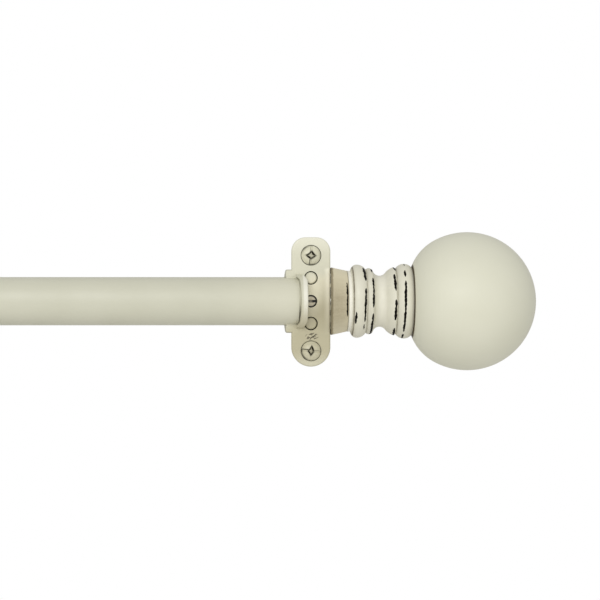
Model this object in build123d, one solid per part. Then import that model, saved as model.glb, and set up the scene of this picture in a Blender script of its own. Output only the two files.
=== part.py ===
from build123d import *
import math
import os

# Wraparound curtain rod that telescopes. Units are millimetres.
# X runs along the front rod towards the right-hand finial, Y towards the wall and Z up.
# The origin is the centre of the right wall plug's face, where it meets the wall.
# Each end is drawn once, in a frame at its corner: x along the rod towards the finial,
# y from the rod's axis towards the wall, z up. The left end is the mirror of the right one.

# Front rod
rod_diameter = 19.0
rod_wall = 0.9
inner_rod_diameter = 15.9
inner_rod_wall = 0.9
corner_spacing = 711.0  # between the two returns with the rod pushed together
tip_clearance = 30.0  # between the glide and the right rod plug with the rod pushed together
bush_lip = 1.5
bush_length = 14.0
bush_running_gap = 0.2  # radial, between bush and inner rod
glide_running_gap = 0.2  # radial, between glide and outer rod
glide_rim = 4.0
glide_spigot = 10.0
closed_gap = 1.0  # between the bush and the end sleeve with the rod pushed together

# Corner block
face_width = 15.6
face_top = 25.3  # above the rod's axis
face_bottom = 25.9  # below the rod's axis
face_top_radius = 5.7
face_forward = 3.0  # front face, in front of the rod's axis
block_back = 13.0  # back face, behind the rod's axis
block_draft = 5.0  # degrees
face_edge_radius = 0.8

# Rod socket on the corner block
socket_radius = 12.5
socket_left = 9.8  # open end, measured from the block's middle
socket_rim_radius = 0.5
socket_bottom = 4.7  # where the rod's end stops
hood_radius = 11.2  # hood over the rod's end, in front of the block's face
hood_left = 5.9
hood_right = 1.6
hood_corner = 4.0  # seen from the front
hood_edge_radius = 0.6
mouth_edge = 5.2  # end of the slot in the hood, level with the rod's axis
mouth_slant = 5.0  # degrees, so that the slot's end leans away from the rod
mouth_corner = 1.6
socket_clearance = 0.1
end_sleeve_length = 22.0
rod_plug_length = 14.0

# Fasteners through the front face
upper_screw_height = 18.1
lower_screw_height = 19.6
clamp_thread = 4.0
clamp_head_diameter = 7.6
clamp_head_height = 2.3
clamp_head_edge = 0.9  # straight side of the head
clamp_head_recess = 0.7  # depth of the counterbore that the head lies in
clamp_recess_gap = 0.3  # ring that shows round the head
screw_clearance = 0.2
upper_slot_angle = 96.0  # degrees from the horizontal
lower_slot_angle = -9.0
slot_width = 0.8
slot_depth = 1.2
cross_width = 1.1
cross_length = 3.8
cross_depth = 1.7
pin_diameter = 4.6
upper_pin_height = 9.2
lower_pin_height = 8.8
pin_ring_gap = 0.4  # ring that shows round each pin
pin_recess = 0.1
centre_head_diameter = 4.6
centre_head_height = 2.0
centre_head_recess = 0.9
centre_thread = 2.8
centre_slot_width = 0.8
centre_slot_depth = 0.7
grub_thread = 3.0
thread_gap = 0.05

# Return to the wall
projection = 76.0  # wall to the rod's axis
flange_thickness = 4.5
flange_inset = 0.4  # the flange stands in from the block's back edge
return_boss_radius = 10.5
return_boss_height = 3.0
spigot_length = 16.0
spigot_gap = 0.05
wall_plug_length = 22.0
wall_hole_diameter = 4.0
wall_hole_spacing = 8.4
wall_sink_diameter = 7.2  # countersink for the wall screws
wall_end_gap = 0.5  # the return tube stops short of the wall
return_screw_distance = 10.0  # from the wall
return_screw_thread = 4.0
return_screw_length = 2.7

# Finial
collar_gap = 0.2  # between the block's flank and the collar
collar_length = 6.3
collar_start_radius = 13.4
collar_end_radius = 12.0
seat_radius = 11.0  # pad on the block's flank that the collar bears on
neck_length = 25.9
ball_radius = 27.3
ball_base_radius = 13.9
ball_base_to_centre = 21.9
shoulder_start = 13.0  # where the ball leaves its sphere, before its centre
stud_diameter = 5.0
stud_in_ball = 12.0
stud_clearance = 0.1
stud_from_middle = 3.2  # stud's inner end, from the block's middle

# Sizes that follow from those above
rod_radius = rod_diameter / 2
rod_inside = rod_radius - rod_wall
inner_rod_radius = inner_rod_diameter / 2
inner_rod_inside = inner_rod_radius - inner_rod_wall
half_face = face_width / 2
block_depth = face_forward + block_back
back_inset = block_depth * math.tan(math.radians(block_draft))
flange_back = block_back + flange_thickness
boss_back = flange_back + return_boss_height
collar_left = half_face + collar_gap
collar_right = collar_left + collar_length
neck_right = collar_right + neck_length
ball_centre = neck_right + ball_base_to_centre
pin_heights = (upper_pin_height, -lower_pin_height)
screw_heights = (upper_screw_height, -lower_screw_height)
screw_slot_angles = (upper_slot_angle, lower_slot_angle)

# Places along the front rod, from the right corner
left_corner = -corner_spacing
sleeve_end = left_corner + socket_bottom + end_sleeve_length
outer_mouth = sleeve_end + closed_gap + bush_lip
inner_tip = -socket_bottom - rod_plug_length - tip_clearance - glide_rim


def along_x(radius, start, end, y=0.0, z=0.0):
    turned = Rot(0, 90, 0) * Cylinder(radius, end - start, align=(Align.CENTER, Align.CENTER, Align.MIN))
    return Pos(start, y, z) * turned


def along_y(radius, start, end, x=0.0, z=0.0):
    turned = Rot(-90, 0, 0) * Cylinder(radius, end - start, align=(Align.CENTER, Align.CENTER, Align.MIN))
    return Pos(x, start, z) * turned


def turned_about_x(outline):
    return revolve(make_face(outline), Axis.X)


def face_outline(inset, y):
    # Upright face, flatter at the top and fully round at the bottom, facing the wall.
    upright = Plane(origin=(0, y, 0), x_dir=(-1, 0, 0), z_dir=(0, 1, 0))
    half = half_face - inset
    top = face_top - inset
    round_centre = half_face - face_bottom
    slab = Pos(0, (top + round_centre) / 2) * Rectangle(2 * half, top - round_centre)
    slab = fillet(slab.vertices().group_by(Axis.Y)[-1], face_top_radius - inset)
    return upright * (slab + Pos(0, round_centre) * Circle(half))


def rod_socket():
    # Short cylinder round the rod's end, cut off flush with the block's face.
    socket = along_x(socket_radius, -socket_left, 0)
    socket = fillet(socket.edges().group_by(Axis.X)[0], socket_rim_radius)
    return socket & Pos(0, socket_radius - face_forward, 0) * Box(*[2 * socket_radius] * 3)


def rod_hood():
    # Hood over the rod's end: round like the rod, and with round corners as seen from the front.
    outline = Pos(-(hood_left + hood_right) / 2, 0) * Rectangle(hood_left - hood_right, 2 * hood_radius)
    outline = fillet(outline.vertices().group_by(Axis.X)[-1], hood_corner)
    hood = extrude(Plane.XZ * outline, amount=hood_radius) & along_x(hood_radius, -hood_left, -hood_right)
    round_face = hood.faces().filter_by(GeomType.CYLINDER).sort_by(SortBy.AREA)[-1]
    closed_end = [e for e in round_face.edges() if e.center().X > -hood_left and e.center().Y < -hood_edge_radius]
    return fillet(closed_end, hood_edge_radius)


def mouth_cut():
    # Slot as wide as the rod, that opens the hood so that the rod can be laid in from the front.
    reach = hood_radius + face_edge_radius
    start = -socket_left - reach
    upright = Plane(origin=(0, 0, 0), x_dir=(1, 0, 0), z_dir=(0, -1, 0))
    width = 2 * (rod_radius + socket_clearance)
    slot = Pos((start - mouth_edge) / 2, 0) * Rectangle(-mouth_edge - start, width)
    slot = fillet(slot.vertices().group_by(Axis.X)[-1], mouth_corner)
    lean = math.radians(mouth_slant)
    return extrude(upright * slot, amount=reach / math.cos(lean), dir=(math.sin(lean), -math.cos(lean), 0))


def finial_seat():
    # Round pad, square to the rod, cut off flush behind the block's front edge.
    pad = along_x(seat_radius, half_face - back_inset, collar_left)
    front = face_edge_radius - face_forward
    return pad & Pos(half_face, front + seat_radius, 0) * Box(seat_radius, 2 * seat_radius, 2 * seat_radius)


def corner_block():
    body = extrude(face_outline(0, -face_forward), amount=block_depth, taper=block_draft)
    front_edges = body.faces().sort_by(Axis.Y)[0].edges()
    body = fillet(front_edges, face_edge_radius)
    body += rod_socket()
    body += rod_hood()
    body += finial_seat()
    body -= along_x(rod_radius + socket_clearance, -socket_left - 1, -socket_bottom)
    body -= mouth_cut()
    body -= along_x(stud_diameter / 2 + thread_gap, stud_from_middle - 1, collar_left + 1)
    head_room = clamp_head_diameter / 2 + clamp_recess_gap
    for height in screw_heights:
        body -= along_y(clamp_thread / 2 + screw_clearance, -face_forward - 1, block_back + 1, z=height)
        body -= along_y(head_room, -face_forward - 1, -face_forward + clamp_head_recess, z=height)
    for height in pin_heights:
        body -= along_y(pin_diameter / 2 + pin_ring_gap, -face_forward - 1, block_back + 1, z=height)
    head_seat = -face_forward + centre_head_recess + centre_head_height
    body -= along_y(centre_head_diameter / 2 + screw_clearance, -face_forward - 1, head_seat)
    body -= along_y(centre_thread / 2 + screw_clearance, head_seat - 1, block_back + 1)
    body -= along_y(grub_thread / 2 + thread_gap, 0, socket_radius + 1, x=grub_place())
    return body


def grub_place():
    # The grub screw bears on the rod half way between the socket's open end and its bottom.
    return -(socket_left + socket_bottom) / 2


def pan_head_screw(height, slot_angle):
    # The head lies in its counterbore, and the shank reaches through the flange.
    radius = clamp_head_diameter / 2
    under = -face_forward + clamp_head_recess
    top = under - clamp_head_height
    side = under - clamp_head_edge
    line = Polyline((0, top), (0, under), (radius, under), (radius, side))
    crown = ThreePointArc((radius, side), (radius * 0.72, top + (side - top) * 0.42), (0, top))
    head = revolve(make_face(line.edges() + crown.edges()), Axis.Y)
    cuts = Pos(0, top, 0) * Box(clamp_head_diameter + 1, 2 * slot_depth, slot_width)
    for turn in (0, 90):
        cuts += Pos(0, top, 0) * Rot(0, turn, 0) * Box(cross_length, 2 * cross_depth, cross_width)
    head -= Rot(0, -slot_angle, 0) * cuts
    head += along_y(clamp_thread / 2 - thread_gap, under, flange_back)
    return Pos(0, 0, height) * head


def clamp_screws():
    screws = [pan_head_screw(h, a) for h, a in zip(screw_heights, screw_slot_angles)]
    return Compound(children=screws)


def locating_pins():
    pins = []
    for height in pin_heights:
        pin = along_y(pin_diameter / 2, -face_forward + pin_recess, flange_back, z=height)
        front = pin.edges().group_by(Axis.Y)[0]
        pins.append(chamfer(front, pin_ring_gap))
    return Compound(children=pins)


def centre_screw():
    head_front = -face_forward + centre_head_recess
    head_seat = head_front + centre_head_height
    screw = along_y(centre_head_diameter / 2, head_front, head_seat)
    screw += along_y(centre_thread / 2, head_seat, boss_back)
    slot = Box(centre_head_diameter + 1, 2 * centre_slot_depth, centre_slot_width)
    return screw - Pos(0, head_front, 0) * slot


def rod_set_screw():
    outer_end = socket_radius - thread_gap
    screw = along_y(grub_thread / 2, rod_radius, outer_end, x=grub_place())
    slot = Box(grub_thread + 1, grub_thread / 3, grub_thread / 5)
    return screw - Pos(grub_place(), outer_end, 0) * slot


def rod_plug(inside):
    # Plug in the rod's end, flush with it at the socket's bottom.
    plug = along_x(inside - spigot_gap, -socket_bottom - rod_plug_length, -socket_bottom)
    return chamfer(plug.edges().group_by(Axis.X)[0], 1.0)


def return_flange():
    flange = extrude(face_outline(back_inset + flange_inset, block_back), amount=flange_thickness)
    flange += along_y(return_boss_radius, block_back + flange_thickness / 2, boss_back)
    spigot = along_y(rod_inside - spigot_gap, boss_back, boss_back + spigot_length)
    flange += chamfer(spigot.edges().group_by(Axis.Y)[-1], 1.0)
    for height in screw_heights:
        flange -= along_y(clamp_thread / 2, block_back - 1, flange_back + 1, z=height)
    for height in pin_heights:
        flange -= along_y(pin_diameter / 2 + thread_gap, block_back - 1, flange_back, z=height)
    return flange - along_y(centre_thread / 2 + thread_gap, block_back - 1, boss_back)


def tube_along_y(radius, inside, start, end):
    return along_y(radius, start, end) - along_y(inside, start - 1, end + 1)


def return_tube():
    tube = tube_along_y(rod_radius, rod_inside, boss_back, projection - wall_end_gap)
    screw_place = projection - return_screw_distance
    hole = Cylinder(return_screw_thread / 2 + thread_gap, rod_diameter,
                    align=(Align.CENTER, Align.CENTER, Align.MAX))
    return tube - Pos(0, screw_place, 0) * hole


def wall_plug():
    room_side = projection - wall_plug_length
    radius = rod_inside - spigot_gap
    plug = along_y(radius, room_side, projection)
    sink_depth = (wall_sink_diameter - wall_hole_diameter) / 2
    for height in (wall_hole_spacing / 2, -wall_hole_spacing / 2):
        sink = Cone(wall_sink_diameter / 2, wall_hole_diameter / 2, sink_depth,
                    align=(Align.CENTER, Align.CENTER, Align.MIN))
        plug -= along_y(wall_hole_diameter / 2, room_side - 1, projection + 1, z=height)
        plug -= Pos(0, room_side, height) * Rot(-90, 0, 0) * sink
    tip = rod_radius - return_screw_length
    hole = Pos(0, 0, -tip) * Cylinder(return_screw_thread / 2 + thread_gap, rod_diameter,
                                      align=(Align.CENTER, Align.CENTER, Align.MAX))
    return plug - Pos(0, projection - return_screw_distance, 0) * hole


def return_set_screw():
    outer_end = rod_radius - thread_gap
    length = return_screw_length - thread_gap
    screw = Cylinder(return_screw_thread / 2, length, align=(Align.CENTER, Align.CENTER, Align.MIN))
    screw -= Box(return_screw_thread + 1, return_screw_thread / 5, return_screw_thread / 2)
    return Pos(0, projection - return_screw_distance, -outer_end) * screw


def finial_stud():
    return along_x(stud_diameter / 2, stud_from_middle, neck_right + stud_in_ball)


def finial_collar():
    # Plain cone that narrows from the block to the neck.
    hole = stud_diameter / 2 + stud_clearance
    outline = Polyline(
        (collar_left, hole),
        (collar_left, collar_start_radius),
        (collar_right, collar_end_radius),
        (collar_right, hole),
        close=True,
    )
    return turned_about_x(outline)


def finial_neck():
    # Turned neck: a rim, a large bead, a small bead, a cove that rises to a third bead and a large bead.
    def at(distance, radius):
        return (collar_right + distance, radius)

    hole = stud_diameter / 2 + stud_clearance
    rim_end = at(1.6, collar_end_radius)
    bead_foot = at(1.65, 12.15)
    bead_crest = at(3.95, 14.45)
    first_groove = at(7.5, 12.45)
    cove_top = at(10.3, 11.9)
    cove_rise = at(15.3, 11.2)
    second_groove = at(19.3, 12.85)
    right_foot = at(neck_length, 13.0)
    edges = [
        Line(at(0, hole), at(0, collar_end_radius)),
        Line(at(0, collar_end_radius), rim_end),
        Line(rim_end, bead_foot),
        ThreePointArc(bead_foot, at(2.6, 14.0), bead_crest),
        ThreePointArc(bead_crest, at(5.95, 13.95), first_groove),
        ThreePointArc(first_groove, at(9.0, 13.05), cove_top),
        ThreePointArc(cove_top, at(13.1, 10.1), cove_rise),
        ThreePointArc(cove_rise, at(16.7, 12.55), at(18.7, 13.5)),
        Line(at(18.7, 13.5), second_groove),
        ThreePointArc(second_groove, at(22.7, 14.75), right_foot),
        Line(right_foot, at(neck_length, hole)),
        Line(at(neck_length, hole), at(0, hole)),
    ]
    return revolve(make_face(edges), Axis.X)


def finial_ball():
    # Sphere that tightens to a smaller radius towards its base.
    start_height = math.sqrt(ball_radius**2 - shoulder_start**2)
    across = (ball_base_to_centre - shoulder_start, start_height - ball_base_radius)
    normal = (shoulder_start / ball_radius, start_height / ball_radius)
    shoulder = (across[0] ** 2 + across[1] ** 2) / (2 * (across[1] * normal[1] - across[0] * normal[0]))
    middle = (ball_centre - shoulder_start + shoulder * normal[0], start_height - shoulder * normal[1])
    base = (neck_right, ball_base_radius)
    start = (ball_centre - shoulder_start, start_height)
    half_way = math.atan2((base[1] + start[1]) / 2 - middle[1], (base[0] + start[0]) / 2 - middle[0])
    between = (middle[0] + shoulder * math.cos(half_way), middle[1] + shoulder * math.sin(half_way))
    edges = [
        Line((neck_right, 0), base),
        ThreePointArc(base, between, start),
        ThreePointArc(start, (ball_centre, ball_radius), (ball_centre + ball_radius, 0)),
        Line((ball_centre + ball_radius, 0), (neck_right, 0)),
    ]
    ball = revolve(make_face(edges), Axis.X)
    return ball - along_x(stud_diameter / 2 + thread_gap, neck_right - 1, neck_right + stud_in_ball + 1)


def outer_tube():
    tube = along_x(rod_radius, outer_mouth, -socket_bottom)
    return tube - along_x(rod_inside, outer_mouth - 1, 0)


def inner_tube():
    start = left_corner + socket_bottom
    tube = along_x(inner_rod_radius, start, inner_tip)
    return tube - along_x(inner_rod_inside, start - 1, inner_tip + 1)


def mouth_bush():
    bush_end = outer_mouth + bush_length
    lip = along_x(rod_radius, outer_mouth - bush_lip, outer_mouth)
    lip = chamfer(lip.edges().group_by(Axis.X)[0], bush_lip / 3)
    bush = lip + along_x(rod_inside - spigot_gap, outer_mouth, bush_end)
    return bush - along_x(inner_rod_radius + bush_running_gap, outer_mouth - bush_lip - 1, bush_end + 1)


def inner_glide():
    rim = along_x(rod_inside - glide_running_gap, inner_tip, inner_tip + glide_rim)
    return rim + along_x(inner_rod_inside - spigot_gap, inner_tip - glide_spigot, inner_tip)


def end_sleeve():
    start = left_corner + socket_bottom
    sleeve = along_x(rod_radius, start, sleeve_end)
    sleeve = chamfer(sleeve.edges().group_by(Axis.X)[-1], rod_wall)
    return sleeve - along_x(inner_rod_radius + spigot_gap, start - 1, sleeve_end + 1)


def at_right(shape):
    return Pos(0, -projection, 0) * shape


def at_left(shape):
    return Pos(left_corner, -projection, 0) * mirror(shape, about=Plane.YZ)


end_pieces = {
    "corner_block": corner_block,
    "clamp_screws": clamp_screws,
    "locating_pins": locating_pins,
    "centre_screw": centre_screw,
    "rod_set_screw": rod_set_screw,
    "return_flange": return_flange,
    "return_tube": return_tube,
    "wall_plug": wall_plug,
    "return_set_screw": return_set_screw,
    "finial_stud": finial_stud,
    "finial_collar": finial_collar,
    "finial_neck": finial_neck,
    "finial_ball": finial_ball,
}
rod_pieces = {
    "outer_tube": outer_tube,
    "inner_tube": inner_tube,
    "mouth_bush": mouth_bush,
    "inner_glide": inner_glide,
    "end_sleeve": end_sleeve,
}

os.makedirs("parts", exist_ok=True)
for name, make in end_pieces.items():
    shape = make()
    export_step(at_right(shape), f"parts/{name}_right.step")
    export_step(at_left(shape), f"parts/{name}_left.step")
export_step(at_right(rod_plug(rod_inside)), "parts/rod_plug_right.step")
export_step(at_left(rod_plug(inner_rod_inside)), "parts/rod_plug_left.step")
for name, make in rod_pieces.items():
    export_step(at_right(make()), f"parts/{name}.step")
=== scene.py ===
import math
import bpy
import numpy as np
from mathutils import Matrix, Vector


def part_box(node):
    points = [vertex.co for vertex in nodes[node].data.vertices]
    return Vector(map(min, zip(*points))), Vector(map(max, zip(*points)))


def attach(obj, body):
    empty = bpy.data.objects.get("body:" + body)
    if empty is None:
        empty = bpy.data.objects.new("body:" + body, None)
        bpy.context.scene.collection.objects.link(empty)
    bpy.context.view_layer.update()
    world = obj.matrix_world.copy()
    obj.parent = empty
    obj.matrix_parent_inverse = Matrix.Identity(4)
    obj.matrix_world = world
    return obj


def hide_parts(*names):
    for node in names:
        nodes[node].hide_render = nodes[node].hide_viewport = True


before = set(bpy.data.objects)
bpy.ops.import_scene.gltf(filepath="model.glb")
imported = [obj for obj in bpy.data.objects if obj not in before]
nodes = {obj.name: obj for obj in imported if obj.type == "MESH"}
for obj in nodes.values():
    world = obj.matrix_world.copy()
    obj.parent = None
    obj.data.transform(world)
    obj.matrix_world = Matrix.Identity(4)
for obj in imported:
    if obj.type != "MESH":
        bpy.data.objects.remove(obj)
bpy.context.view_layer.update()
mm = 0.001
print("frame loaded:", len(nodes), "pieces")


# small helpers

def linearColor(hexColor):
    # sRGB hex to the linear values that the shader wants
    out = []
    for i in (1, 3, 5):
        c = int(hexColor[i:i + 2], 16) / 255
        out.append(c / 12.92 if c <= 0.04045 else ((c + 0.055) / 1.055) ** 2.4)
    return (*out, 1.0)


def addNode(tree, kind, settings=None, links=None):
    # one node with its settings, then its inputs:
    # a node or a socket is linked, a hex is a colour and the rest are values
    node = tree.nodes.new(kind)
    for key, value in (settings or {}).items():
        setattr(node, key, value)
    for key, value in (links or {}).items():
        if isinstance(value, bpy.types.Node):
            value = next(s for s in value.outputs if s.enabled)
        if isinstance(value, bpy.types.NodeSocket):
            tree.links.new(value, node.inputs[key])
        else:
            node.inputs[key].default_value = linearColor(value) if isinstance(value, str) else value
    return node


def newMaterial(name, **values):
    # a material with its shader's fixed values set on the shader's own sockets
    mat = bpy.data.materials.new(name)
    mat.use_nodes = True
    tree = mat.node_tree
    shader = tree.nodes["Principled BSDF"]
    for key, value in values.items():
        shader.inputs[key.replace("_", " ")].default_value = value
    return mat, tree, shader


def addPiece(name, mesh, mat, body, slotName, *replaced):
    mesh.materials.append(mat)
    obj = bpy.data.objects.new(name, mesh)
    bpy.context.scene.collection.objects.link(obj)
    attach(obj, body)
    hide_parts(*replaced)


def middleOf(node):
    low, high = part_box(node)
    return (low + high) / 2


def radiusOf(node):
    # of a tube along the rod's axis, in millimetres
    low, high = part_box(node)
    return (high.z - low.z) / 2 / mm


# the rod's axis and its two corners, read from the frame; distances run outwards from a corner
# turn: degrees by which an end's rubbed paint is turned about the rod
axis = middleOf("outer_tube")
ends = {
    "right": {"corner": middleOf("return_tube_right").x, "out": 1, "body": "right_half", "turn": 0.0},
    "left": {"corner": middleOf("return_tube_left").x, "out": -1, "body": "left_half", "turn": 137.0},
}
rightCorner = ends["right"]["corner"]
midSpan = (rightCorner + ends["left"]["corner"]) / 2
halfSpan = abs(rightCorner - midSpan)


def outwards(node):
    # where a right-hand piece starts and ends, in millimetres from its corner
    low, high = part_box(node)
    return (low.x - rightCorner) / mm, (high.x - rightCorner) / mm


# camera: level with the rod, a little to the left of square on, with a long lens
cameraSetup = {
    "azimuth": -4.5,        # degrees
    "lens": 500.0,          # mm
    "sensor": 36.0,         # mm
    "frameWidth": 236.8,    # mm across the picture at the rod
    "aimX": -4.1,           # mm from the right corner
    "aimZ": 0.47,           # mm above the rod's axis
    "clipEnd": 50.0,        # m
}


def makeCamera(s):
    data = bpy.data.cameras.new("camera")
    data.lens = s["lens"]
    data.sensor_width = s["sensor"]
    data.clip_end = s["clipEnd"]
    cam = bpy.data.objects.new("camera", data)
    bpy.context.scene.collection.objects.link(cam)
    distance = s["lens"] * s["frameWidth"] / s["sensor"] * mm
    a = math.radians(s["azimuth"])
    aim = Vector((rightCorner + s["aimX"] * mm, axis.y, axis.z + s["aimZ"] * mm))
    cam.location = aim + distance * Vector((math.sin(a), -math.cos(a), 0))
    cam.rotation_euler = (aim - cam.location).to_track_quat("-Z", "Y").to_euler()
    bpy.context.scene.camera = cam


makeCamera(cameraSetup)
print("camera set")


# light: a white room, one broad soft key from the upper left and a weak fill
lightSetup = {
    "room": 0.62,
    "backdrop": 1.0,
    # m, W and m from the right corner
    "key": {"size": 1.3, "power": 15.5, "from": (-0.5, -1.6, 0.75)},
    "fill": {"size": 0.8, "power": 2.2, "from": (0.9, -1.2, 0.1)},
}


def makeLight(name, s):
    data = bpy.data.lights.new(name, "AREA")
    data.shape = "DISK"
    data.size = s["size"]
    data.energy = s["power"]
    lamp = bpy.data.objects.new(name, data)
    bpy.context.scene.collection.objects.link(lamp)
    aim = Vector((rightCorner, axis.y, axis.z))
    lamp.location = aim + Vector(s["from"])
    lamp.rotation_euler = (aim - lamp.location).to_track_quat("-Z", "Y").to_euler()


def makeRoom(s):
    world = bpy.data.worlds.new("room")
    world.use_nodes = True
    bpy.context.scene.world = world
    tree = world.node_tree
    tree.nodes.clear()
    room = addNode(tree, "ShaderNodeBackground", links={"Color": "#ffffff", "Strength": s["room"]})
    seen = addNode(tree, "ShaderNodeBackground", links={"Color": "#ffffff", "Strength": s["backdrop"]})
    path = addNode(tree, "ShaderNodeLightPath")
    mix = addNode(tree, "ShaderNodeMixShader", links={0: path.outputs["Is Camera Ray"], 1: room, 2: seen})
    addNode(tree, "ShaderNodeOutputWorld", links={"Surface": mix})
    bpy.context.scene.view_settings.view_transform = "Standard"


makeRoom(lightSetup)
makeLight("keyLight", lightSetup["key"])
makeLight("fillLight", lightSetup["fill"])
print("light set")


# materials

# settings that many nodes share
smooth = {"interpolation_type": "SMOOTHSTEP"}
colorMix = {"data_type": "RGBA"}
times = {"operation": "MULTIPLY"}
timesPlus = {"operation": "MULTIPLY_ADD"}
minus = {"operation": "SUBTRACT"}
greater = {"operation": "GREATER_THAN"}
larger = {"operation": "MAXIMUM"}
absolute = {"operation": "ABSOLUTE"}
vectorLength = {"operation": "LENGTH"}
# inputs of a ramp: where it starts, where it is full, and what it gives there, 0 and 1 if left out
ramp = ("From Min", "From Max", "To Min", "To Max")


def pieceSpace(tree):
    # the surface point in millimetres: as a vector, then outwards from the nearer corner, to the front and up
    place = addNode(tree, "ShaderNodeTexCoord").outputs["Object"]
    moved = addNode(tree, "ShaderNodeVectorMath", minus, {0: place, 1: (midSpan, axis.y, axis.z)})
    scaled = addNode(tree, "ShaderNodeVectorMath", {"operation": "SCALE"}, {0: moved, "Scale": 1 / mm})
    xyz = addNode(tree, "ShaderNodeSeparateXYZ", links={0: scaled})
    along = addNode(tree, "ShaderNodeMath", absolute, {0: xyz.outputs["X"]})
    out = addNode(tree, "ShaderNodeMath", minus, {0: along, 1: halfSpan / mm})
    front = addNode(tree, "ShaderNodeMath", times, {0: xyz.outputs["Y"], 1: -1.0})
    return {"point": scaled, "out": out, "front": front, "up": xyz.outputs["Z"]}


# what every coat shares
coatSetup = {
    "mottleDetail": 4.0, "grainDetail": 2.0,            # of the noise
    "sheenSpan": (0.3, 0.7), "sheenSpread": 0.05,       # the mottle's span, and roughness to each side
    "peelHeight": 0.05,                                 # mm
}


def coatedMaterial(name, s, **values):
    # a material with a faint mottle, an uneven sheen and the fine grain of its coat
    # mottle and grain are sizes in mm, and peel is the grain's strength
    mat, tree, shader = newMaterial(name, **values)
    at = pieceSpace(tree)
    c = coatSetup
    mottle = addNode(tree, "ShaderNodeTexNoise", links={
        "Vector": at["point"], "Scale": 1 / s["mottle"], "Detail": c["mottleDetail"]})
    coat = addNode(tree, "ShaderNodeMix", colorMix, {0: mottle, 6: s["light"], 7: s["dark"]}).outputs[2]
    sheenRamp = (*c["sheenSpan"], s["roughness"] - c["sheenSpread"], s["roughness"] + c["sheenSpread"])
    sheen = addNode(tree, "ShaderNodeMapRange", links={"Value": mottle, **dict(zip(ramp, sheenRamp))})
    grain = addNode(tree, "ShaderNodeTexNoise", links={
        "Vector": at["point"], "Scale": 1 / s["grain"], "Detail": c["grainDetail"]})
    bump = addNode(tree, "ShaderNodeBump", links={
        "Height": grain, "Strength": s["peel"], "Distance": c["peelHeight"] * mm})
    tree.links.new(coat, shader.inputs["Base Color"])
    tree.links.new(sheen.outputs[0], shader.inputs["Roughness"])
    tree.links.new(bump.outputs[0], shader.inputs["Normal"])
    return mat, tree, shader, at, coat


tubeFinish = {
    "light": "#c8c7b5", "dark": "#c0bfac", "mottle": 14.0, "grain": 0.9, "peel": 0.12, "roughness": 0.42,
    "paintedLight": "#fff8df", "paintedLightOut": (-42.0, -6.0, 0.0, 0.13),   # mm from the corner: painted light, paler near it
    "paintedShade": "#2b2419", "paintedShadeWidth": 0.45,     # mm of painted shade line where the rod runs under the hood
    "paintedShadeUp": (2.0, -7.0, 0.1, 1.0),           # mm above the axis: the painted shade is dark on the lower half
    "rodBack": -11.0,                           # mm in front of the axis: the return behind has neither
}


def satinEnamelTube(s):
    # steel tube sprayed with satin ivory enamel: an even, softly shiny skin, with painted light near the
    # corner and painted shade where it meets the hood
    mat, tree, shader, at, coat = coatedMaterial("satinEnamelTube", s, IOR=1.5)
    ahead = addNode(tree, "ShaderNodeMath", greater, {0: at["front"], 1: s["rodBack"]})
    # painted light: the front of the rod is paler towards the corner
    near = addNode(tree, "ShaderNodeMapRange", smooth, {"Value": at["out"], **dict(zip(ramp, s["paintedLightOut"]))})
    near = addNode(tree, "ShaderNodeMath", times, {0: near, 1: ahead})
    coat = addNode(tree, "ShaderNodeMix", colorMix, {0: near, 6: coat, 7: s["paintedLight"]}).outputs[2]
    rodEnd = outwards("outer_tube")[1]
    # painted shade: a dark line where the rod runs under the hood, strongest on the lower half
    band = addNode(tree, "ShaderNodeMapRange", smooth, {
        "Value": at["out"], "From Min": rodEnd - s["paintedShadeWidth"], "From Max": rodEnd - s["paintedShadeWidth"] / 2})
    lower = addNode(tree, "ShaderNodeMapRange", smooth, {"Value": at["up"], **dict(zip(ramp, s["paintedShadeUp"]))})
    mask = addNode(tree, "ShaderNodeMath", times, {0: band, 1: lower})
    mask = addNode(tree, "ShaderNodeMath", times, {0: mask, 1: ahead})
    coat = addNode(tree, "ShaderNodeMix", colorMix, {0: mask, 6: coat, 7: s["paintedShade"]}).outputs[2]
    tree.links.new(coat, shader.inputs["Base Color"])
    return mat


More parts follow.
